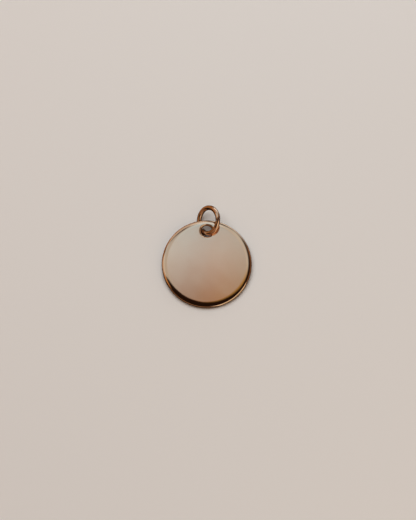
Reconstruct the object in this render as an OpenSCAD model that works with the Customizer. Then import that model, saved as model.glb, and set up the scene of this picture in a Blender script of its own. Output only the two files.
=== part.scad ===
// Medallion charm: a blank round disc with softened edges and a drilled hole near its rim,
// and one round-wire jump ring that passes through the hole. Both lie loose on a flat surface.

/* [Disc] */
// Diameter of the disc
disc_d = 15; // [12:0.5:20]
// Thickness of the disc between its two flat faces
disc_t = 0.8; // [0.8:0.01:0.82]
// How far the softened edge reaches in from the outline
edge_reach = 1.0; // [0.8:0.05:1.1]
// Radius of the tight round at the waist of the edge
waist_r = 0.3; // [0.26:0.02:0.34]

/* [Hole] */
// Diameter of the drilled hole
hole_d = 1.9; // [1.9:0.05:2.1]
// Radius of the round on each rim of the hole
rim_r = 0.39; // [0.36:0.01:0.39]
// Metal left between the hole and the outline of the disc
hole_web = 0.95; // [0.9:0.05:1.1]

/* [Jump ring] */
// Inner diameter of the jump ring
ring_id = 3.5; // [3.45:0.01:3.52]
// Thickness of the round wire
wire_d = 0.8; // [0.7:0.05:0.8]
// Width of the saw cut between the two ends of the wire
seam_w = 0.08; // [0.05:0.01:0.1]
// Place of the saw cut round the ring, in degrees from the raised side towards the outer end
seam_at = -5; // [-15:5:60]
// Slant of the saw cut across the wire, in degrees
seam_skew = 35; // [0:5:45]

/* [Pose] */
// Lean of the ring out of the plane of the disc, left side down, in degrees
ring_lean = 44; // [43.5:0.5:47]
// Rise of the ring's outer end, in degrees
ring_rise = 6.5; // [5.5:0.5:7]
// Distance of the ring's centre beyond the hole, away from the middle of the disc
ring_beyond = 1.74; // [1.71:0.01:1.78]
// Distance of the ring's centre to the right of the hole
ring_right = 0.28; // [0.24:0.01:0.3]
// Height of the ring's centre over the middle plane of the disc
ring_up = 0.56; // [0.53:0.01:0.57]

/* [Hidden] */
$fn = 96;

// Warm rose gold plate on both pieces
gold = [0.84, 0.66, 0.51];

// Disc: half sizes, and the broad round that joins the flat face to the waist without a corner
disc_r = disc_d / 2;
half_t = disc_t / 2;
flat_r = disc_r - edge_reach;
broad_turn = 2 * atan((half_t - waist_r) / (edge_reach - waist_r));
broad_r = waist_r + (edge_reach - waist_r) / sin(broad_turn);
broad_end = flat_r + broad_r * sin(broad_turn);

// Hole: the rim rounds run a hair past the face, so that they meet it in a fine crease
hole_r = hole_d / 2;
hole_from_centre = disc_r - hole_web - hole_r;
rim_past = 0.003;
cut_past = 1;

// Ring: radius of the wire's middle line, and the ring's axis and centre seen from the disc
wire_r = wire_d / 2;
ring_r = ring_id / 2 + wire_r;
ring_turn = [ring_rise, -ring_lean, 0];
ring_axis = [
    -sin(ring_lean) * cos(ring_rise),
    -sin(ring_rise),
    cos(ring_lean) * cos(ring_rise)
];
ring_centre = [ring_right, hole_from_centre + ring_beyond, ring_up];

// Furthest reach of each piece along a direction d of length 1, seen from the middle of the disc
function disc_reach(d) =
    let (side = norm([d.x, d.y]), up = abs(d.z))
    atan2(side, up) < broad_turn
        ? flat_r * side + (half_t - broad_r) * up + broad_r
        : (disc_r - waist_r) * side + waist_r;
function ring_reach(d) =
    ring_centre * d + ring_r * sqrt(1 - pow(ring_axis * d, 2)) + wire_r;
function reach(d) = max(disc_reach(d), ring_reach(d));

// Point of the ring that lies furthest along d
function ring_point(d) =
    let (in_plane = d - ring_axis * (ring_axis * d))
    ring_centre + in_plane * ring_r / norm(in_plane) + d * wire_r;

// The charm tips towards the side opposite the ring's low point, until both pieces touch the ground
low_point = ring_point([0, 0, -1]);
rest_turn = atan2(-low_point.x, low_point.y);
function down(tip) = [sin(tip) * sin(rest_turn), -sin(tip) * cos(rest_turn), -cos(tip)];
function find_tip(low, high, steps) =
    let (middle = (low + high) / 2, d = down(middle))
    steps == 0 ? middle
        : ring_reach(d) > disc_reach(d) ? find_tip(middle, high, steps - 1)
        : find_tip(low, middle, steps - 1);
rest_tip = find_tip(0, 15, 24);

// A direction of the room, seen from the tipped disc
function turned(d, a) = [d.x * cos(a) - d.y * sin(a), d.x * sin(a) + d.y * cos(a), d.z];
function tipped(d, a) = [d.x, d.y * cos(a) - d.z * sin(a), d.y * sin(a) + d.z * cos(a)];
function from_room(d) = turned(tipped(turned(d, -rest_turn), -rest_tip), rest_turn);

// The middle of the charm's box is over the origin, and its lowest points are at height zero
left_reach = reach(from_room([-1, 0, 0]));
right_reach = reach(from_room([1, 0, 0]));
near_reach = reach(from_room([0, -1, 0]));
far_reach = reach(from_room([0, 1, 0]));
down_reach = reach(from_room([0, 0, -1]));
rest_place = [
    (left_reach - right_reach) / 2,
    (near_reach - far_reach) / 2,
    down_reach
];

module at_rest() {
    translate(rest_place)
        rotate([0, 0, rest_turn])
            rotate([rest_tip, 0, 0])
                rotate([0, 0, -rest_turn])
                    children();
}

// Right half of the disc's section: a flat slab, a broad round above and below, a tight waist
module disc_section() {
    translate([0, -half_t])
        square([flat_r, disc_t]);
    intersection() {
        translate([flat_r, half_t - broad_r])
            circle(broad_r);
        translate([flat_r, broad_r - half_t])
            circle(broad_r);
        translate([0, -half_t])
            square([broad_end, disc_t]);
    }
    translate([disc_r - waist_r, 0])
        circle(waist_r);
}

// Right half of the hole's section, opening out over each rim
module hole_section() {
    round_at = half_t - rim_r + rim_past;
    difference() {
        translate([0, -half_t - cut_past])
            square([hole_r + rim_r, disc_t + 2 * cut_past]);
        translate([hole_r, -round_at])
            square([2 * rim_r, 2 * round_at]);
        for (side = [-1, 1])
            translate([hole_r + rim_r, side * round_at])
                circle(rim_r);
    }
}

module disc() {
    color(gold)
        at_rest()
            difference() {
                rotate_extrude()
                    disc_section();
                translate([0, hole_from_centre, 0])
                    rotate_extrude()
                        hole_section();
            }
}

module jump_ring() {
    color(gold)
        at_rest()
            translate(ring_centre)
                rotate(ring_turn)
                    difference() {
                        rotate_extrude()
                            translate([ring_r, 0])
                                circle(wire_r);
                        rotate([0, 0, seam_at])
                            translate([ring_r, 0, 0])
                                rotate(seam_skew, [1, 0, 1])
                                    cube([wire_d * 2, seam_w, wire_d * 2], center = true);
                    }
}

disc();
jump_ring();
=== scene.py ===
"""Medallion charm: a blank round disc of rose gold plated metal and the jump ring in its hole.

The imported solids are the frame. Both pieces are made here as smooth surfaces worked out with
numpy, from the same measures as the solids and in the same place, so that the broad rounds,
the rolled rim of the hole and the cut ends of the wire catch the light as on the real charm.
All lengths are in metres.
"""

import math

import bpy
import numpy as np
from bpy.props import FloatProperty, FloatVectorProperty, PointerProperty
from mathutils import Matrix, Vector


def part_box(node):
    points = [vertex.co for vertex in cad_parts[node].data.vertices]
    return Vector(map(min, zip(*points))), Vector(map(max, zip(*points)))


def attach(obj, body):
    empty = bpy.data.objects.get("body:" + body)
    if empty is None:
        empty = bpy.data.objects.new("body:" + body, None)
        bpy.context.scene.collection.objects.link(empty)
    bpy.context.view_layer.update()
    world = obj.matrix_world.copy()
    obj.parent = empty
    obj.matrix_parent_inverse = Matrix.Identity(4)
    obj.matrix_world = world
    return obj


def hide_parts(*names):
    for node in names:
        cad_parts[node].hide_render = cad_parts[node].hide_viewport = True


bl_info = {
    "name": "Medallion Charm",
    "version": (1, 0, 0),
    "blender": (4, 5, 0),
    "location": "3D View > Sidebar > Charm",
    "description": "Makes a blank round charm and its jump ring, on a pale floor in soft light",
    "category": "Add Mesh",
}

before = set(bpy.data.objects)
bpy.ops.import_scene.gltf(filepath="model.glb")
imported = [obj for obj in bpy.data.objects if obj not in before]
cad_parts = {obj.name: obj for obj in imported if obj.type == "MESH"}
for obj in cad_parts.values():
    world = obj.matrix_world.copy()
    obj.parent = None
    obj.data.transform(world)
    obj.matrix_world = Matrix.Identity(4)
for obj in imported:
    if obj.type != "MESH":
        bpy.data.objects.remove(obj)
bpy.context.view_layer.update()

MM = 0.001
BODY = "root"

# How the disc lies: its middle is the middle of its solid's box, and the ring under the hole
# tips it by the first angle about a level axis that is turned by the second one. part.scad
# works both out from the ring's pose.
DISC_MIDDLE = (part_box("disc")[0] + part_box("disc")[1]) / 2
TIP = math.radians(3.94782)
TIP_TURN = math.radians(9.8902)


# ---------------------------------------------------------------- sizes and colours


class DiscSizes(bpy.types.PropertyGroup):
    """Sizes of the disc and of the hole near its edge."""

    diameter: FloatProperty(
        name="Diameter", description="Diameter of the disc", default=15 * MM,
        min=12 * MM, max=20 * MM, unit="LENGTH", precision=5,
    )
    thickness: FloatProperty(
        name="Thickness", description="Thickness of the disc at its middle",
        default=0.8 * MM, min=0.8 * MM, max=0.82 * MM, unit="LENGTH", precision=5,
    )
    edge_reach: FloatProperty(
        name="Edge reach", description="How far the softened edge reaches in from the outline",
        default=1 * MM, min=0.8 * MM, max=1.1 * MM, unit="LENGTH", precision=5,
    )
    waist: FloatProperty(
        name="Waist radius", description="Radius of the tight round at the waist of the edge",
        default=0.3 * MM, min=0.26 * MM, max=0.34 * MM, unit="LENGTH", precision=5,
    )
    hole: FloatProperty(
        name="Hole", description="Diameter of the drilled hole", default=1.9 * MM,
        min=1.9 * MM, max=2.1 * MM, unit="LENGTH", precision=5,
    )
    rim: FloatProperty(
        name="Hole rim", description="Radius of the round on each rim of the hole",
        default=0.39 * MM, min=0.36 * MM, max=0.39 * MM, unit="LENGTH", precision=5,
    )
    web: FloatProperty(
        name="Web", description="Metal left between the hole and the outline",
        default=0.95 * MM, min=0.9 * MM, max=1.1 * MM, unit="LENGTH", precision=5,
    )
    crown: FloatProperty(
        name="Crown", description="Share of its thickness that the disc loses towards the edge",
        default=0.05, min=0, max=0.1,
    )
    ripple: FloatProperty(
        name="Ripple", description="Height of the slow waves that polishing leaves in the faces",
        default=0.0011 * MM, min=0, max=0.01 * MM, unit="LENGTH", precision=7,
    )


class RingSizes(bpy.types.PropertyGroup):
    """Sizes of the jump ring, and its place in the hole."""

    inside: FloatProperty(
        name="Inside diameter", description="Inner diameter of the ring", default=3.5 * MM,
        min=3.45 * MM, max=3.52 * MM, unit="LENGTH", precision=5,
    )
    wire: FloatProperty(
        name="Wire", description="Thickness of the round wire", default=0.8 * MM,
        min=0.7 * MM, max=0.8 * MM, unit="LENGTH", precision=5,
    )
    cut: FloatProperty(
        name="Cut", description="Width of the saw cut between the ends of the wire",
        default=0.08 * MM, min=0.05 * MM, max=0.1 * MM, unit="LENGTH", precision=6,
    )
    cut_place: FloatProperty(
        name="Cut place", description="Place of the cut, from the raised side to the outer end",
        default=math.radians(-5), subtype="ANGLE",
    )
    cut_slant: FloatProperty(
        name="Cut slant", description="Slant of the saw cut across the wire",
        default=math.radians(35), min=0, max=math.radians(45), subtype="ANGLE",
    )
    end_round: FloatProperty(
        name="End round", description="Radius left on the cut ends by tumbling",
        default=0.07 * MM, min=0.01 * MM, max=0.1 * MM, unit="LENGTH", precision=6,
    )
    end_step: FloatProperty(
        name="End step", description="How far the two ends miss each other sideways",
        default=0.06 * MM, min=0, max=0.1 * MM, unit="LENGTH", precision=6,
    )
    grip: FloatProperty(
        name="Grip marks", description="Depth of the flats that the closing pliers press",
        default=0.012 * MM, min=0, max=0.05 * MM, unit="LENGTH", precision=6,
    )
    lean: FloatProperty(
        name="Lean", description="Lean of the ring out of the plane of the disc, left side down",
        default=math.radians(44), subtype="ANGLE",
    )
    rise: FloatProperty(
        name="Rise", description="Rise of the ring's outer end", default=math.radians(6.5),
        subtype="ANGLE",
    )
    middle: FloatVectorProperty(
        name="Middle", description="Middle of the ring, seen from the middle of the hole",
        default=(0.28 * MM, 1.74 * MM, 0.56 * MM), unit="LENGTH", precision=5,
    )


class PlateFinish(bpy.types.PropertyGroup):
    """Colours and polish of the plated metal, with the browns and reds that are painted as shade
    in its recesses.
    """

    plate: FloatVectorProperty(
        name="Plate", description="Colour of the clean plate", subtype="COLOR",
        default=(0.92, 0.68, 0.50), min=0, max=1,
    )
    # Redder tone of the plate's random clouds. On the ring's inner side it is also painted
    # shade.
    blush_and_shade: FloatVectorProperty(
        name="Blush", description="Redder colour where the plate is thickest", subtype="COLOR",
        default=(0.91, 0.65, 0.47), min=0, max=1,
    )
    worn: FloatVectorProperty(
        name="Worn", description="Paler colour where handling thins the plate",
        subtype="COLOR", default=(0.95, 0.76, 0.56), min=0, max=1,
    )
    # Dark brown of the pits. It is also painted shade on the hole's wall, and partly painted
    # shade in the cut between the wire's ends.
    tarnish_and_shade: FloatVectorProperty(
        name="Tarnish", description="Brown film that stays in the cut and on the hole's wall",
        subtype="COLOR", default=(0.22, 0.09, 0.04), min=0, max=1,
    )
    satin: FloatProperty(
        name="Satin", description="Roughness of the polished faces", default=0.085,
        min=0.02, max=0.6,
    )
    wire_satin: FloatProperty(
        name="Wire satin", description="Roughness of the polished wire", default=0.06,
        min=0.02, max=0.6,
    )


class StageLook(bpy.types.PropertyGroup):
    """Floor, lights and camera."""

    floor: FloatVectorProperty(
        name="Floor", description="Colour of the floor", subtype="COLOR",
        default=(0.80, 0.79, 0.77), min=0, max=1,
    )
    light: FloatProperty(
        name="Light", description="Brightness of the soft panels", default=1, min=0,
    )
    wash: FloatProperty(
        name="Wash", description="Brightness of the even light on the floor", default=1.6, min=0,
    )
    view_tilt: FloatProperty(
        name="View tilt", description="Angle between the line of sight and the disc's axis",
        default=math.radians(13.6), subtype="ANGLE",
    )
    view_turn: FloatProperty(
        name="View turn", description="Turn of the line of sight round the disc's axis",
        default=math.radians(1.5), subtype="ANGLE",
    )
    lens: FloatProperty(
        name="Lens", description="Focal length on a 36 mm film, in millimetres", default=150,
        min=20,
    )


# ---------------------------------------------------------------- place and meshes


def disc_turn():
    """Turn of the disc at rest, as a 3 by 3 array: a tip about a level axis."""
    turn = Matrix.Rotation(TIP_TURN, 3, "Z")
    return np.array(turn @ Matrix.Rotation(TIP, 3, "X") @ turn.transposed())


def into_room(points):
    """Points seen from the disc's middle and axes, moved to where the charm lies."""
    return points @ disc_turn().T + np.array(DISC_MIDDLE)


def quads_between(rows, columns, wrap_rows):
    """Corner numbers of the four-sided faces of a grid whose columns close on themselves."""
    row = np.arange(rows if wrap_rows else rows - 1)[:, None]
    column = np.arange(columns)[None, :]
    here, after = row * columns, (row + 1) % rows * columns
    beside = (column + 1) % columns
    corners = [here + column, here + beside, after + beside, after + column]
    return np.stack(np.broadcast_arrays(*corners), -1).reshape(-1, 4)


def volume(points, faces):
    """Signed volume inside closed faces: it is negative when they point inwards.

    It is a sixth of the sum, over the triangles, of the first corner's product with the
    cross product of the other two."""
    a, b, c = points[faces[:, 0]], points[faces[:, 1]], points[faces[:, 2]]
    total = np.einsum("ij,ij->", a, np.cross(b, c))
    if faces.shape[1] == 4:
        total += np.einsum("ij,ij->", a, np.cross(c, points[faces[:, 3]]))
    return total / 6


def make_piece(name, points, face_sets, marks, node, material):
    """A mesh object in the room, which rides on the charm and stands for one of its solids.

    marks are named numbers, one for each point, that the material reads."""
    inward = sum(volume(points, faces) for faces in face_sets) < 0
    faces = [
        list(face[::-1] if inward else face) for group in face_sets for face in group.tolist()
    ]
    mesh = bpy.data.meshes.new(name)
    mesh.from_pydata(points.tolist(), [], faces)
    for mark, values in marks.items():
        layer = mesh.attributes.new(mark, "FLOAT", "POINT")
        layer.data.foreach_set("value", np.ascontiguousarray(values, np.float32).ravel())
    mesh.polygons.foreach_set("use_smooth", np.ones(len(mesh.polygons), bool))
    mesh.materials.append(material)
    mesh.validate()
    piece = bpy.data.objects.new(name, mesh)
    bpy.context.scene.collection.objects.link(piece)
    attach(piece, BODY)
    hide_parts(node)


def smooth_step(x, start, end):
    """0 up to start, 1 from end on, and a smooth s-curve between them.

    The curve is three times the square of the share of the way, less twice its cube."""
    t = np.clip((x - start) / (end - start), 0, 1)
    return t * t * (3 - 2 * t)


# ---------------------------------------------------------------- the disc

# Points round each row of the disc's skin, and the rows of each stretch of it
AROUND = 240
WALL_ROWS = 4
RIM_ROWS = 12
FACE_ROWS = 104
BROAD_ROWS = 12
WAIST_ROWS = 14
# The lower half's rows: the upper ones in reverse, but for the first and the last
BELOW = slice(-2, 0, -1)
# The hole's rows go this far round its rim, and the face's rows this share of the way from
# its flat part to the waist
RIM_TURN = math.radians(65)
FACE_END = 0.58
# Softness of the corner between the rim and the face, how far the rim runs past the face, and
# the slope at which it goes on from there, so that it stays above the face
SOFT_CORNER = 0.006 * MM
RIM_PAST = 0.003 * MM
RIM_CLIMB = 0.5
# The waves of the polish have their full height this many rim radii from the hole's wall
CALM_RIM = 3
# Slow waves of the polish: direction in degrees, length in mm, phase in degrees
RIPPLES = ((14, 4.6, 20), (71, 3.4, 150), (118, 5.3, 260), (163, 2.9, 75), (41, 2.3, 310))


class DiscShape:
    """Measures of the disc that follow from its sizes."""

    def __init__(self, sizes):
        self.radius = sizes.diameter / 2
        self.half = sizes.thickness / 2
        self.waist = sizes.waist
        self.flat = self.radius - sizes.edge_reach
        rise, run = self.half - self.waist, sizes.edge_reach - self.waist
        self.broad_turn = 2 * math.atan(rise / run)
        self.broad = self.waist + run / math.sin(self.broad_turn)
        self.hole = sizes.hole / 2
        self.rim = sizes.rim
        self.hole_y = self.radius - sizes.web - self.hole
        self.crown = sizes.crown
        self.ripple = sizes.ripple

    def height(self, x, y):
        """Height of the upper skin over the middle plane.

        It is the lower of two heights, joined by a tight round: the flat face that falls
        along a broad circle near the outline, and the circle that rolls into the hole. The
        height of a circle is that of its middle plus the root of its radius squared less the
        way past its middle squared. The join is half of the sum of both heights less the
        root of their difference squared plus the soft corner squared."""
        past = np.clip(np.hypot(x, y) - self.flat, 0, None)
        edge = self.half - self.broad + np.sqrt(self.broad**2 - past**2)
        from_hole = np.hypot(x, y - self.hole_y)
        into = np.clip((self.hole + self.rim - from_hole) / self.rim, 0, 1)
        beyond = np.clip(from_hole - self.hole - self.rim, 0, None)
        roll = self.half - self.rim + RIM_PAST + self.rim * np.sqrt(1 - into**2)
        roll = roll + beyond * RIM_CLIMB
        return (edge + roll - np.hypot(edge - roll, SOFT_CORNER)) / 2

    def rows(self):
        """Circles of the upper skin, from the middle of the hole's wall to the waist.

        Each row is (y of the circle's middle, its radius, its height, or nan where the
        skin's own height holds). Between the hole and the edge the circles drift from the
        hole's axis to the disc's, close together at both ends."""
        wall_top = self.half - self.rim + RIM_PAST
        wall = [(self.hole_y, self.hole, z) for z in np.linspace(0, wall_top, WALL_ROWS)[:-1]]
        turns = np.linspace(0, RIM_TURN, RIM_ROWS)
        rim = [(self.hole_y, self.hole + self.rim * (1 - math.cos(t)), math.nan) for t in turns]
        start = rim[-1][1]
        end = self.flat + (self.radius - self.waist - self.flat) * FACE_END
        share = smooth_step(np.linspace(0, 1, FACE_ROWS), 0, 1)[1:-1]
        face = [(self.hole_y * (1 - w), start + (end - start) * w, math.nan) for w in share]
        first_turn = math.asin((end - self.flat) / self.broad)
        turns = np.linspace(first_turn, self.broad_turn, BROAD_ROWS)
        broad = [(0, self.flat + self.broad * math.sin(t), math.nan) for t in turns]
        turns = np.linspace(self.broad_turn, math.pi / 2, WAIST_ROWS)[1:]
        inner = self.radius - self.waist
        waist = [
            (0, inner + self.waist * math.sin(t), self.waist * math.cos(t)) for t in turns
        ]
        return np.array(wall + rim + face + broad + waist)

    def waves(self, x, y):
        """Slow waves over the plane, about one ripple high.

        Each is the sine of a full turn times the way along its direction over its length,
        plus its phase. Their sum is twice the ripple over their number."""
        total = np.zeros_like(x)
        for heading, length, phase in RIPPLES:
            a = math.radians(heading)
            along = (x * math.cos(a) + y * math.sin(a)) / (length * MM)
            total += np.sin(2 * math.pi * along + math.radians(phase))
        return total * self.ripple / len(RIPPLES) * 2

    def surface(self):
        """Points of the whole skin, and the marks for its finish.

        A point is a circle's middle plus its radius times (cos a, sin a), at the skin's
        height. Towards the edge the height shrinks by the crown times the square of the
        share of the radius. The lower half is the upper one mirrored, with its own ripples,
        so the rows close on themselves like a long thin loop carried round the disc."""
        rows = self.rows()
        a = np.linspace(0, 2 * math.pi, AROUND, endpoint=False)
        x = rows[:, 1:2] * np.cos(a)
        y = rows[:, 0:1] + rows[:, 1:2] * np.sin(a)
        z = np.where(np.isnan(rows[:, 2:3]), self.height(x, y), rows[:, 2:3])
        r = np.hypot(x, y)
        z = z * (1 - self.crown * (r / self.radius) ** 2)
        from_hole = np.hypot(x, y - self.hole_y)
        level = smooth_step(from_hole, self.hole + self.rim, self.hole + CALM_RIM * self.rim)
        level *= 1 - smooth_step(r, self.flat - self.waist, self.flat + self.waist)
        upper = np.stack([x, y, z + level * self.waves(x, y)], -1)
        lower = np.stack([x, y, -z - level * self.waves(y, -x)], -1)
        points = np.concatenate([upper, lower[BELOW]])
        handled = smooth_step(r, self.flat, self.radius) * smooth_step(z, 0, self.half / 2)
        handled += smooth_step(-from_hole, -self.hole - self.rim, -self.hole - self.rim / 3)
        # Painted shade: the wall mark darkens the hole's wall, a recess, towards the dark brown.
        wall = 1 - smooth_step(from_hole, self.hole, self.hole + self.rim / 2)
        marks = {
            "handled": np.concatenate([handled, handled[BELOW]]),
            "wall": np.concatenate([wall, wall[BELOW]]),
        }
        return points, marks


# ---------------------------------------------------------------- the jump ring

# Points round the wire, rows along it and rows round each end's edge
WIRE_AROUND = 56
WIRE_ROWS = 300
END_ROWS = 6
# How far from the cut the ends' sideways miss, its slant and its brown fade: a dull cut face and
# painted shade in the gap
STEP_FADE = 1.3 * MM
SLANT_FADE = 0.9 * MM
FILM_FADE = 0.22 * MM
# Where the pliers hold the wire, over what length, and how narrow their flats are
GRIP_AT = 1.5 * MM
GRIP_LENGTH = 0.55 * MM
GRIP_SHARPNESS = 6


def ring_surface(sizes, disc):
    """Points, faces and marks of the jump ring, seen from the disc's middle and axes.

    A circle of the wire's radius is carried along the ring's middle line from one side of
    the cut to the other. At each end its radius closes along a quarter circle and then
    straight to a point in the middle of the cut face. Near the cut each point is moved along
    the wire by the slant's tangent times its place across it, which slants the cut. The
    middle line of one end drifts sideways there, by the step times the exponential of minus
    the way from the end over its fade. The flats of the pliers take off the grip times a bell
    curve along the wire times a power of the sine of the angle round it."""
    wire = sizes.wire / 2
    radius = sizes.inside / 2 + wire
    length = 2 * math.pi * radius - sizes.cut
    bend = sizes.end_round
    t = np.linspace(0, math.pi / 2, END_ROWS)
    end_along, end_radius = bend * (1 - np.cos(t)), wire - bend * (1 - np.sin(t))
    cap = (wire - bend) * np.array([1 / 3, 2 / 3])
    along = np.concatenate([
        np.zeros(2), end_along, np.linspace(bend, length - bend, WIRE_ROWS)[1:-1],
        length - end_along[::-1], np.full(2, length),
    ])
    reach = np.concatenate([
        cap, end_radius, np.full(WIRE_ROWS - 2, wire), end_radius[::-1], cap[::-1],
    ])
    b = np.linspace(0, 2 * math.pi, WIRE_AROUND, endpoint=False)[None, :]
    from_end = np.minimum(along, length - along)[:, None]
    slant = math.tan(sizes.cut_slant) * reach[:, None] * (np.cos(b) - np.sin(b)) / math.sqrt(2)
    slant = slant * (1 - smooth_step(from_end, 0, SLANT_FADE))
    a = sizes.cut_place + (sizes.cut / 2 + along[:, None] + slant) / radius
    held = np.exp(-((from_end - GRIP_AT) / GRIP_LENGTH) ** 2)
    reach = reach[:, None] - sizes.grip * held * np.abs(np.sin(b)) ** GRIP_SHARPNESS
    drift = np.exp(-from_end / STEP_FADE)
    drift *= np.where(along[:, None] < length / 2, -1.0, 0.0)
    out = radius + reach * np.cos(b)
    up = reach * np.sin(b) + drift * sizes.end_step
    skin = np.stack([out * np.cos(a), out * np.sin(a), up], -1)
    points = np.concatenate([skin.reshape(-1, 3), [skin[0].mean(0), skin[-1].mean(0)]])

    rows, columns = skin.shape[:2]
    count = rows * columns
    here = np.arange(columns)
    beside = (here + 1) % columns
    low_fan = np.stack([np.full(columns, count), beside, here], -1)
    top = (rows - 1) * columns
    high_fan = np.stack([np.full(columns, count + 1), top + here, top + beside], -1)
    faces = [quads_between(rows, columns, False), low_fan, high_fan]

    lean = Matrix.Rotation(-sizes.lean, 3, "Y") @ Matrix.Rotation(sizes.rise, 3, "X")
    middle = np.array(sizes.middle) + np.array([0, disc.hole_y, 0])
    points = points @ np.array(lean).T + middle
    # The cut mark browns the wire's ends, partly a dull saw-cut face and partly painted shade in
    # the gap. The inner mark paints the ring's inner side a little redder, as shade.
    # Each mark over the grid of the skin, and then at the middles of the two cut faces
    marks = {
        "cut": (np.exp(-((from_end / FILM_FADE) ** 2)), [1, 1]),
        "inner": (smooth_step(-np.cos(b), 0.2, 1.0), [0, 0]),
        "along": (along[:, None], [0, length]),
    }
    marks = {
        mark: np.append(np.broadcast_to(over_skin, (rows, columns)), at_caps)
        for mark, (over_skin, at_caps) in marks.items()
    }
    return points, faces, marks


# ---------------------------------------------------------------- shader helpers


class Value:
    """One number, colour or vector on its way through a material."""

    def __init__(self, net, socket):
        self.net, self.socket = net, socket

    def _math(self, operation, a, b):
        return self.net.node("ShaderNodeMath", {"operation": operation}, {0: a, 1: b})

    def __add__(self, other):
        return self._math("ADD", self, other)

    def __sub__(self, other):
        return self._math("SUBTRACT", self, other)

    def __rsub__(self, other):
        return self._math("SUBTRACT", other, self)

    def __mul__(self, other):
        return self._math("MULTIPLY", self, other)

    def __truediv__(self, other):
        return self._math("DIVIDE", self, other)

    def __abs__(self):
        return self._math("ABSOLUTE", self, 0.0)

    __radd__ = __add__
    __rmul__ = __mul__


class Net:
    """The nodes of one material, light or sky."""

    def __init__(self, owner):
        owner.use_nodes = True
        self.tree = owner.node_tree
        self.tree.nodes.clear()

    def node(self, kind, settings=None, inputs=None, output=0):
        """Adds a node of a kind, with its settings and inputs, and gives one of its outputs."""
        made = self.tree.nodes.new(kind)
        for key, value in (settings or {}).items():
            setattr(made, key, value)
        for key, value in (inputs or {}).items():
            if isinstance(value, Value):
                self.tree.links.new(value.socket, made.inputs[key])
            else:
                made.inputs[key].default_value = value
        return Value(self, made.outputs[output]) if len(made.outputs) else None

    def mark(self, name):
        """The number that a piece's mesh holds under this name."""
        return self.node("ShaderNodeAttribute", {"attribute_name": name}, output="Fac")

    def blend(self, share, a, b):
        """Colour a where share is 0, and b where it is 1."""
        return self.node(
            "ShaderNodeMix", {"data_type": "RGBA"}, {"Factor": share, 6: a, 7: b}, output=2
        )

    def between(self, value, low, high):
        """0 below low, 1 above high, and a smooth rise between them."""
        return self.node(
            "ShaderNodeMapRange", {"interpolation_type": "SMOOTHSTEP"},
            {"Value": value, "From Min": low, "From Max": high},
        )

    def place(self, per_mm, turn=(0, 0, 0)):
        """Object coordinates, turned by degrees and then scaled by so many units to the mm."""
        where = self.node("ShaderNodeTexCoord", output="Object")
        turned = self.node(
            "ShaderNodeMapping", {"vector_type": "POINT"},
            {"Vector": where, "Rotation": [math.radians(t) for t in turn]},
        )
        return self.node(
            "ShaderNodeMapping", {"vector_type": "POINT"},
            {"Vector": turned, "Scale": [s / MM for s in per_mm]},
        )

    def noise(self, where, detail=2.0, roughness=0.5):
        """Soft noise, from 0 to 1."""
        return self.node(
            "ShaderNodeTexNoise", None,
            {"Vector": where, "Scale": 1.0, "Detail": detail, "Roughness": roughness},
        )


def opaque(colour):
    """A colour with full alpha, as a shader's socket takes it."""
    return (*colour, 1.0)


# ---------------------------------------------------------------- finishes

# Directions of the fine scratches over the face, in degrees, with how wide each set's are
HAIRLINES = ((8, 0.010), (57, 0.008), (103, 0.006), (151, 0.009))
# Units of noise to the mm, along the three axes, for the scratches and the patches they keep to
HAIR_SCALE = (0.35, 5.0, 0.35)
PATCH_SCALE = (0.5, 0.5, 0.5)
# Height of the bump that stands for the finest relief, and its strength on each piece
RELIEF = 0.002 * MM
DISC_RELIEF = 0.18
WIRE_RELIEF = 0.25
# Spacing of the faint marks that drawing leaves along the wire
DRAW_STEP = 0.3 * MM


def hairlines(net):
    """Fine scratches, 1 inside a scratch: contour lines of long stretched noise, broken up."""
    total = 0.0
    for heading, width in HAIRLINES:
        along = net.place(HAIR_SCALE, (0, 0, heading))
        line = 1 - net.between(abs(net.noise(along, 1.0) - 0.5), 0.0, width)
        where = net.place(PATCH_SCALE, (0, 0, 2 * heading))
        patch = net.between(net.noise(where), 0.45, 0.6)
        total = line * patch + total
    return total


def clean_plate(net, look, per_mm):
    """Colour of the clean plate, with redder clouds, so many units of noise to the mm."""
    cloud = net.noise(net.place((per_mm, per_mm, per_mm)), 3.0, 0.55)
    return net.blend(net.between(cloud, 0.3, 0.7), opaque(look.plate), opaque(look.blush_and_shade))


def metal(net, colour, rough, height, strength):
    """Ends a material as a metal of this colour, roughness and fine relief."""
    bump = net.node(
        "ShaderNodeBump", None, {"Strength": strength, "Distance": RELIEF, "Height": height}
    )
    shader = net.node(
        "ShaderNodeBsdfPrincipled", None,
        {"Base Color": colour, "Metallic": 1.0, "Roughness": rough, "Normal": bump},
    )
    net.node("ShaderNodeOutputMaterial", None, {"Surface": shader})


def disc_finish(look):
    """Satin rose gold plate: soft redder clouds, fine scratches, pits, pale worn rims, and
    painted shade that browns the hole's wall.
    """
    material = bpy.data.materials.new("rose_gold_disc")
    net = Net(material)
    handled, wall = net.mark("handled"), net.mark("wall")
    smudge = net.noise(net.place((0.9, 0.5, 0.9), (0, 0, 35)), 4.0, 0.6)
    grain = net.noise(net.place((14, 14, 14)), 2.0, 0.6)
    lines = hairlines(net)
    cells = {"Vector": net.place((1.6, 1.6, 1.6)), "Scale": 1.0}
    pits = 1 - net.between(net.node("ShaderNodeTexVoronoi", None, cells), 0.03, 0.06)

    colour = net.blend(handled * 0.6, clean_plate(net, look, 0.28), opaque(look.worn))
    # Pits take the dark brown as their own colour. The hole's wall takes it as painted shade.
    colour = net.blend(pits * 0.5 + wall * (0.35 + 0.4 * grain), colour, opaque(look.tarnish_and_shade))

    rough = look.satin + 0.04 * (smudge - 0.5) + 0.02 * (grain - 0.5)
    rough = rough + 0.04 * lines + 0.22 * wall - 0.02 * handled
    height = 0.30 * smudge + 0.10 * grain - 0.35 * lines - pits
    metal(net, colour, rough, height, DISC_RELIEF)
    return material


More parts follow.
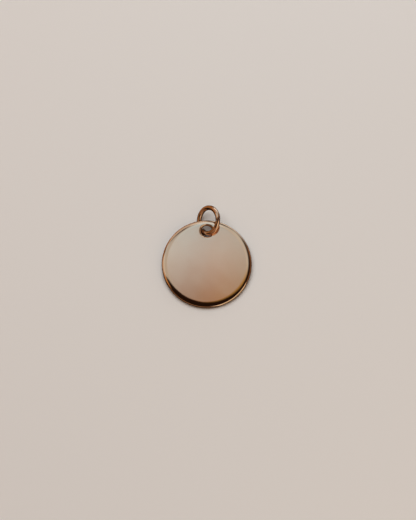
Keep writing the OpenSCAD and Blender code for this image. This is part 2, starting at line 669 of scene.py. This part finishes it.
def ring_finish(look):
    """Polished rose gold wire: drawing lines along it, a saw cut browned partly as a dull cut
    face and partly as painted shade in the gap, and a dull inner side painted a little redder as
    shade.
    """
    material = bpy.data.materials.new("rose_gold_ring")
    net = Net(material)
    cut, inner, along = net.mark("cut"), net.mark("inner"), net.mark("along")
    grain = net.noise(net.place((18, 18, 18)), 2.0, 0.6)
    smudge = net.noise(net.place((1.4, 1.4, 1.4)), 3.0, 0.6)

    colour = clean_plate(net, look, 0.5)
    # Painted shade: the inner side of the ring turns a little redder.
    colour = net.blend(0.35 * inner + 0.1 * grain, colour, opaque(look.blush_and_shade))
    # The cut ends turn dark brown: partly a dull saw-cut face, partly painted shade in the gap.
    colour = net.blend(cut * (0.8 + 0.2 * grain), colour, opaque(look.tarnish_and_shade))

    rough = look.wire_satin + 0.03 * (smudge - 0.5) + 0.3 * cut + 0.03 * inner
    drawn = net.node(
        "ShaderNodeCombineXYZ", None, {"X": along / DRAW_STEP, "Y": smudge * 6.0, "Z": 0.0}
    )
    height = 0.3 * smudge + 0.15 * grain + 0.12 * net.noise(drawn)
    metal(net, colour, rough, height, WIRE_RELIEF)
    return material


# ---------------------------------------------------------------- stage

# Side of the floor in metres, and how dull it is
FLOOR_SIDE = 2.0
FLOOR_ROUGH = 0.9
# Size of the photograph's image, and where the middle of the disc and its scale are in it
IMAGE = (416, 520)
DISC_AT = (206.75, 264.0)
PX_PER_MM = 6.0
# Film of the camera in mm, along the image's longer side
FILM = 36.0
# Soft panels round the charm, each as wide and high as the angles that it fills, seen from
# the charm. Azimuth is 0 to the right, 90 towards the viewer, 180 to the left; tilt is
# measured from straight up; roll turns a panel in its own plane. Its light fades out along
# each side, over the share soft of half its width. A panel has one colour, or four: lower
# left, lower right, upper left and upper right. Four colours meet in bands, each a middle and
# a half width, the first across the panel and the second up it, where -1 and 1 are its sides.
# The near and low_right panels are dim: they keep the face lit when it is seen from behind or
# from the left. Angles are in degrees.
PANEL_DISTANCE = 160 * MM
PANELS = {
    "key": dict(
        azimuth=294, tilt=19, roll=18.5, wide=36, high=47, soft=0.5,
        colours=[(0.52, 0.54, 0.53), (0.31, 0.48, 0.62), (0.39, 0.24, 0.07), (0.02, 0.0, 0.0)],
        bands=[(0.24, 0.3), (0.41, 0.2)],
    ),
    "key_left": dict(
        azimuth=226, tilt=19, roll=-41, wide=36, high=25, soft=0.25,
        colours=[(0.06, 0.08, 0.09), (0.46, 0.49, 0.5), (0.19, 0.09, 0.03), (0.47, 0.47, 0.44)],
        bands=[(-0.5, 0.3), (0.1, 0.3)],
    ),
    "top": dict(
        azimuth=268, tilt=31, roll=0, wide=20, high=16, soft=0.4, colours=[(0.3, 0.3, 0.3)],
    ),
    "upper_left": dict(
        azimuth=246, tilt=50, roll=0, wide=38, high=38, soft=0.2, colours=[(0.46, 0.4, 0.36)],
    ),
    "left": dict(
        azimuth=183, tilt=47, roll=9, wide=30, high=46, soft=0.27,
        colours=[(0.46, 0.37, 0.3), (0.42, 0.2, 0.07), (0.46, 0.37, 0.3), (0.42, 0.2, 0.07)],
        bands=[(0.1, 0.3), (0, 1)],
    ),
    "front": dict(
        azimuth=46, tilt=69, roll=2, wide=54, high=74, soft=0.06,
        colours=[(1.0, 0.8, 0.64), (0.5, 0.37, 0.25), (1.0, 0.8, 0.64), (0.78, 0.6, 0.44)],
        bands=[(-0.8, 0.3), (0.3, 0.3)],
    ),
    "upper_right": dict(
        azimuth=302, tilt=66, roll=-12, wide=72, high=54, soft=0.15,
        colours=[(0.2, 0.14, 0.1), (1.1, 1.1, 1.1), (0.1, 0.06, 0.04), (0.22, 0.17, 0.14)],
        bands=[(-0.2, 0.4), (0.4, 0.4)],
    ),
    "back": dict(
        azimuth=225, tilt=86, roll=42, wide=90, high=64, soft=0.15, colours=[(0.28, 0.13, 0.05)],
    ),
    "near": dict(
        azimuth=118, tilt=69, roll=0, wide=92, high=40, soft=0.35, colours=[(0.26, 0.14, 0.08)],
    ),
    "low_right": dict(
        azimuth=356, tilt=73, roll=0, wide=64, high=34, soft=0.35, colours=[(0.26, 0.14, 0.08)],
    ),
    "right": dict(
        azimuth=350, tilt=55, roll=10, wide=50, high=55, soft=0.3, colours=[(0.05, 0.02, 0.01)],
    ),
}
# Where the even light on the floor comes from, and how wide it is, in degrees
WASH_AZIMUTH = 250
WASH_TILT = 25
WASH_WIDTH = 60
# The room is nearly dark where the charm mirrors it, and pale where it is seen past the floor
SKY = (0.014, 0.006, 0.003)
BACKDROP = (0.60, 0.55, 0.52)


def look_at(place, towards, up=Vector((0, 0, 1))):
    """Turn of a light or camera at place that looks along its own -Z at a point."""
    back = (place - towards).normalized()
    right = up.cross(back).normalized()
    turn = Matrix((right, back.cross(right), back)).transposed().to_4x4()
    return Matrix.Translation(place) @ turn


def direction(azimuth, tilt):
    """Unit vector towards a panel's azimuth and tilt, in degrees."""
    a, t = math.radians(azimuth), math.radians(tilt)
    return Vector((math.sin(t) * math.cos(a), -math.sin(t) * math.sin(a), math.cos(t)))


def shade_panel(light, soft, colours, bands):
    """Fades a light out along its sides, and blends its colours across it and up it."""
    net = Net(light)
    where = net.node("ShaderNodeNewGeometry", output="Parametric")
    across, upward = [
        2 * net.node("ShaderNodeSeparateXYZ", None, {"Vector": where}, axis) - 1 for axis in "XY"
    ]
    fade = net.between(1 - abs(across), 0.0, soft) * net.between(1 - abs(upward), 0.0, soft)
    colour = opaque(colours[0])
    if len(colours) == 4:
        to_right, to_top = [
            net.between(place, middle - half, middle + half)
            for place, (middle, half) in zip((across, upward), bands)
        ]
        low = net.blend(to_right, opaque(colours[0]), opaque(colours[1]))
        high = net.blend(to_right, opaque(colours[2]), opaque(colours[3]))
        colour = net.blend(to_top, low, high)
    faded = net.blend(fade, opaque((0, 0, 0)), colour)
    glow = net.node("ShaderNodeEmission", None, {"Color": faded})
    net.node("ShaderNodeOutputLight", None, {"Surface": glow})


def soft_panel(name, brightness, azimuth, tilt, roll, wide, high, soft, colours, bands=()):
    """A square-cornered soft light that faces the charm.

    Each side is twice the distance times the tangent of half its angle. The power is pi
    times the area times the brightness, so that the charm mirrors the panel's own colours."""
    light = bpy.data.lights.new(name, "AREA")
    light.shape = "RECTANGLE"
    light.size = 2 * PANEL_DISTANCE * math.tan(math.radians(wide / 2))
    light.size_y = 2 * PANEL_DISTANCE * math.tan(math.radians(high / 2))
    light.energy = brightness * math.pi * light.size * light.size_y
    shade_panel(light, soft, colours, bands)
    panel = bpy.data.objects.new(name, light)
    bpy.context.scene.collection.objects.link(panel)
    middle = Vector(DISC_MIDDLE)
    place = look_at(middle + direction(azimuth, tilt) * PANEL_DISTANCE, middle)
    panel.matrix_world = place @ Matrix.Rotation(math.radians(roll), 4, "Z")
    panel.visible_camera = False


def floor_wash(brightness):
    """An even, wide light on the floor, which the charm doesn't mirror."""
    wash = bpy.data.lights.new("floor_wash", "SUN")
    wash.energy = brightness
    wash.angle = math.radians(WASH_WIDTH)
    lamp = bpy.data.objects.new("floor_wash", wash)
    bpy.context.scene.collection.objects.link(lamp)
    lamp.matrix_world = look_at(direction(WASH_AZIMUTH, WASH_TILT), Vector((0, 0, 0)))
    lamp.visible_glossy = False


def dim_room():
    """Makes the room dark round the charm, and pale where the camera looks past the floor."""
    world = bpy.data.worlds.new("dim_room")
    net = Net(world)
    seen = net.node("ShaderNodeLightPath", output="Is Camera Ray")
    air = net.blend(seen, opaque(SKY), opaque(BACKDROP))
    glow = net.node("ShaderNodeBackground", None, {"Color": air, "Strength": 1.0})
    net.node("ShaderNodeOutputWorld", None, {"Surface": glow})
    bpy.context.scene.world = world


def floor_plane(colour):
    """A large level floor under the charm."""
    side = FLOOR_SIDE / 2
    corners = [(-side, -side, 0), (side, -side, 0), (side, side, 0), (-side, side, 0)]
    mesh = bpy.data.meshes.new("floor")
    mesh.from_pydata(corners, [], [(0, 1, 2, 3)])
    material = bpy.data.materials.new("pale_floor")
    net = Net(material)
    shader = net.node(
        "ShaderNodeBsdfPrincipled", None,
        {"Base Color": opaque(colour), "Roughness": FLOOR_ROUGH},
    )
    net.node("ShaderNodeOutputMaterial", None, {"Surface": shader})
    mesh.materials.append(material)
    floor = bpy.data.objects.new("floor", mesh)
    bpy.context.scene.collection.objects.link(floor)
    floor.visible_glossy = False


def photo_camera(look):
    """Camera at the photograph's angle and scale, with the disc where the photograph has it.

    Its distance is the lens over the film, times the room's length that the longer side of
    the image shows at the disc."""
    turn = Matrix(disc_turn().tolist())
    tilt, spin = look.view_tilt, look.view_turn
    back = turn @ Vector(
        (math.sin(tilt) * math.sin(spin), -math.sin(tilt) * math.cos(spin), math.cos(tilt))
    )
    ahead = turn @ Vector((0, 1, 0))
    up = (ahead - ahead.dot(back) * back).normalized()
    right = up.cross(back)
    px = MM / PX_PER_MM
    distance = look.lens / FILM * IMAGE[1] * px
    target = Vector(DISC_MIDDLE)
    target += right * (IMAGE[0] / 2 - DISC_AT[0]) * px
    target += up * (DISC_AT[1] - IMAGE[1] / 2) * px
    data = bpy.data.cameras.new("photo_camera")
    data.lens, data.sensor_width = look.lens, FILM
    data.clip_start, data.clip_end = distance / 100, distance * 100
    camera = bpy.data.objects.new("photo_camera", data)
    bpy.context.scene.collection.objects.link(camera)
    camera.matrix_world = look_at(target + back * distance, target, up)
    bpy.context.scene.camera = camera


# ---------------------------------------------------------------- operators and panel


class CHARM_OT_disc(bpy.types.Operator):
    """Makes the disc with its soft edge and rolled hole."""

    bl_idname = "charm.disc"
    bl_label = "Disc"

    def execute(self, context):
        shape = DiscShape(context.scene.charm_disc)
        points, marks = shape.surface()
        rows, columns = points.shape[:2]
        faces = [quads_between(rows, columns, True)]
        make_piece(
            "disc_skin", into_room(points.reshape(-1, 3)), faces, marks, "disc",
            disc_finish(context.scene.charm_finish),
        )
        return {"FINISHED"}


class CHARM_OT_jump_ring(bpy.types.Operator):
    """Makes the jump ring of round wire, with its saw cut."""

    bl_idname = "charm.jump_ring"
    bl_label = "Jump ring"

    def execute(self, context):
        disc = DiscShape(context.scene.charm_disc)
        points, faces, marks = ring_surface(context.scene.charm_ring, disc)
        make_piece(
            "jump_ring_wire", into_room(points), faces, marks, "jump_ring",
            ring_finish(context.scene.charm_finish),
        )
        return {"FINISHED"}


class CHARM_OT_stage(bpy.types.Operator):
    """Makes the floor, the lights, the room and the camera."""

    bl_idname = "charm.stage"
    bl_label = "Stage"

    def execute(self, context):
        look = context.scene.charm_stage
        context.scene.view_settings.view_transform = "Standard"
        floor_plane(look.floor)
        for name, panel in PANELS.items():
            soft_panel(name, look.light, **panel)
        floor_wash(look.wash)
        dim_room()
        photo_camera(look)
        return {"FINISHED"}


class CHARM_PT_pieces(bpy.types.Panel):
    """Lists the charm's pieces and their sizes."""

    bl_idname = "CHARM_PT_pieces"
    bl_label = "Medallion charm"
    bl_space_type = "VIEW_3D"
    bl_region_type = "UI"
    bl_category = "Charm"

    def draw(self, context):
        groups = (
            (context.scene.charm_disc, CHARM_OT_disc),
            (context.scene.charm_ring, CHARM_OT_jump_ring),
            (context.scene.charm_stage, CHARM_OT_stage),
        )
        for settings, operator in groups:
            box = self.layout.box()
            box.operator(operator.bl_idname)
            for key in settings.__annotations__:
                box.prop(settings, key)
        box = self.layout.box()
        box.label(text="Finish")
        for key in PlateFinish.__annotations__:
            box.prop(context.scene.charm_finish, key)


GROUPS = {
    "charm_disc": DiscSizes,
    "charm_ring": RingSizes,
    "charm_finish": PlateFinish,
    "charm_stage": StageLook,
}
CLASSES = (CHARM_OT_disc, CHARM_OT_jump_ring, CHARM_OT_stage, CHARM_PT_pieces)


def register():
    """Registers the settings, the operators and the panel."""
    for name, group in GROUPS.items():
        bpy.utils.register_class(group)
        setattr(bpy.types.Scene, name, PointerProperty(type=group))
    for item in CLASSES:
        bpy.utils.register_class(item)


def unregister():
    """Takes them away again, the last one first."""
    for item in reversed(CLASSES):
        bpy.utils.unregister_class(item)
    for name, group in reversed(GROUPS.items()):
        delattr(bpy.types.Scene, name)
        bpy.utils.unregister_class(group)


def main():
    """Makes every piece and the stage."""
    register()
    bpy.ops.charm.disc()
    bpy.ops.charm.jump_ring()
    bpy.ops.charm.stage()


if __name__ == "__main__":
    main()
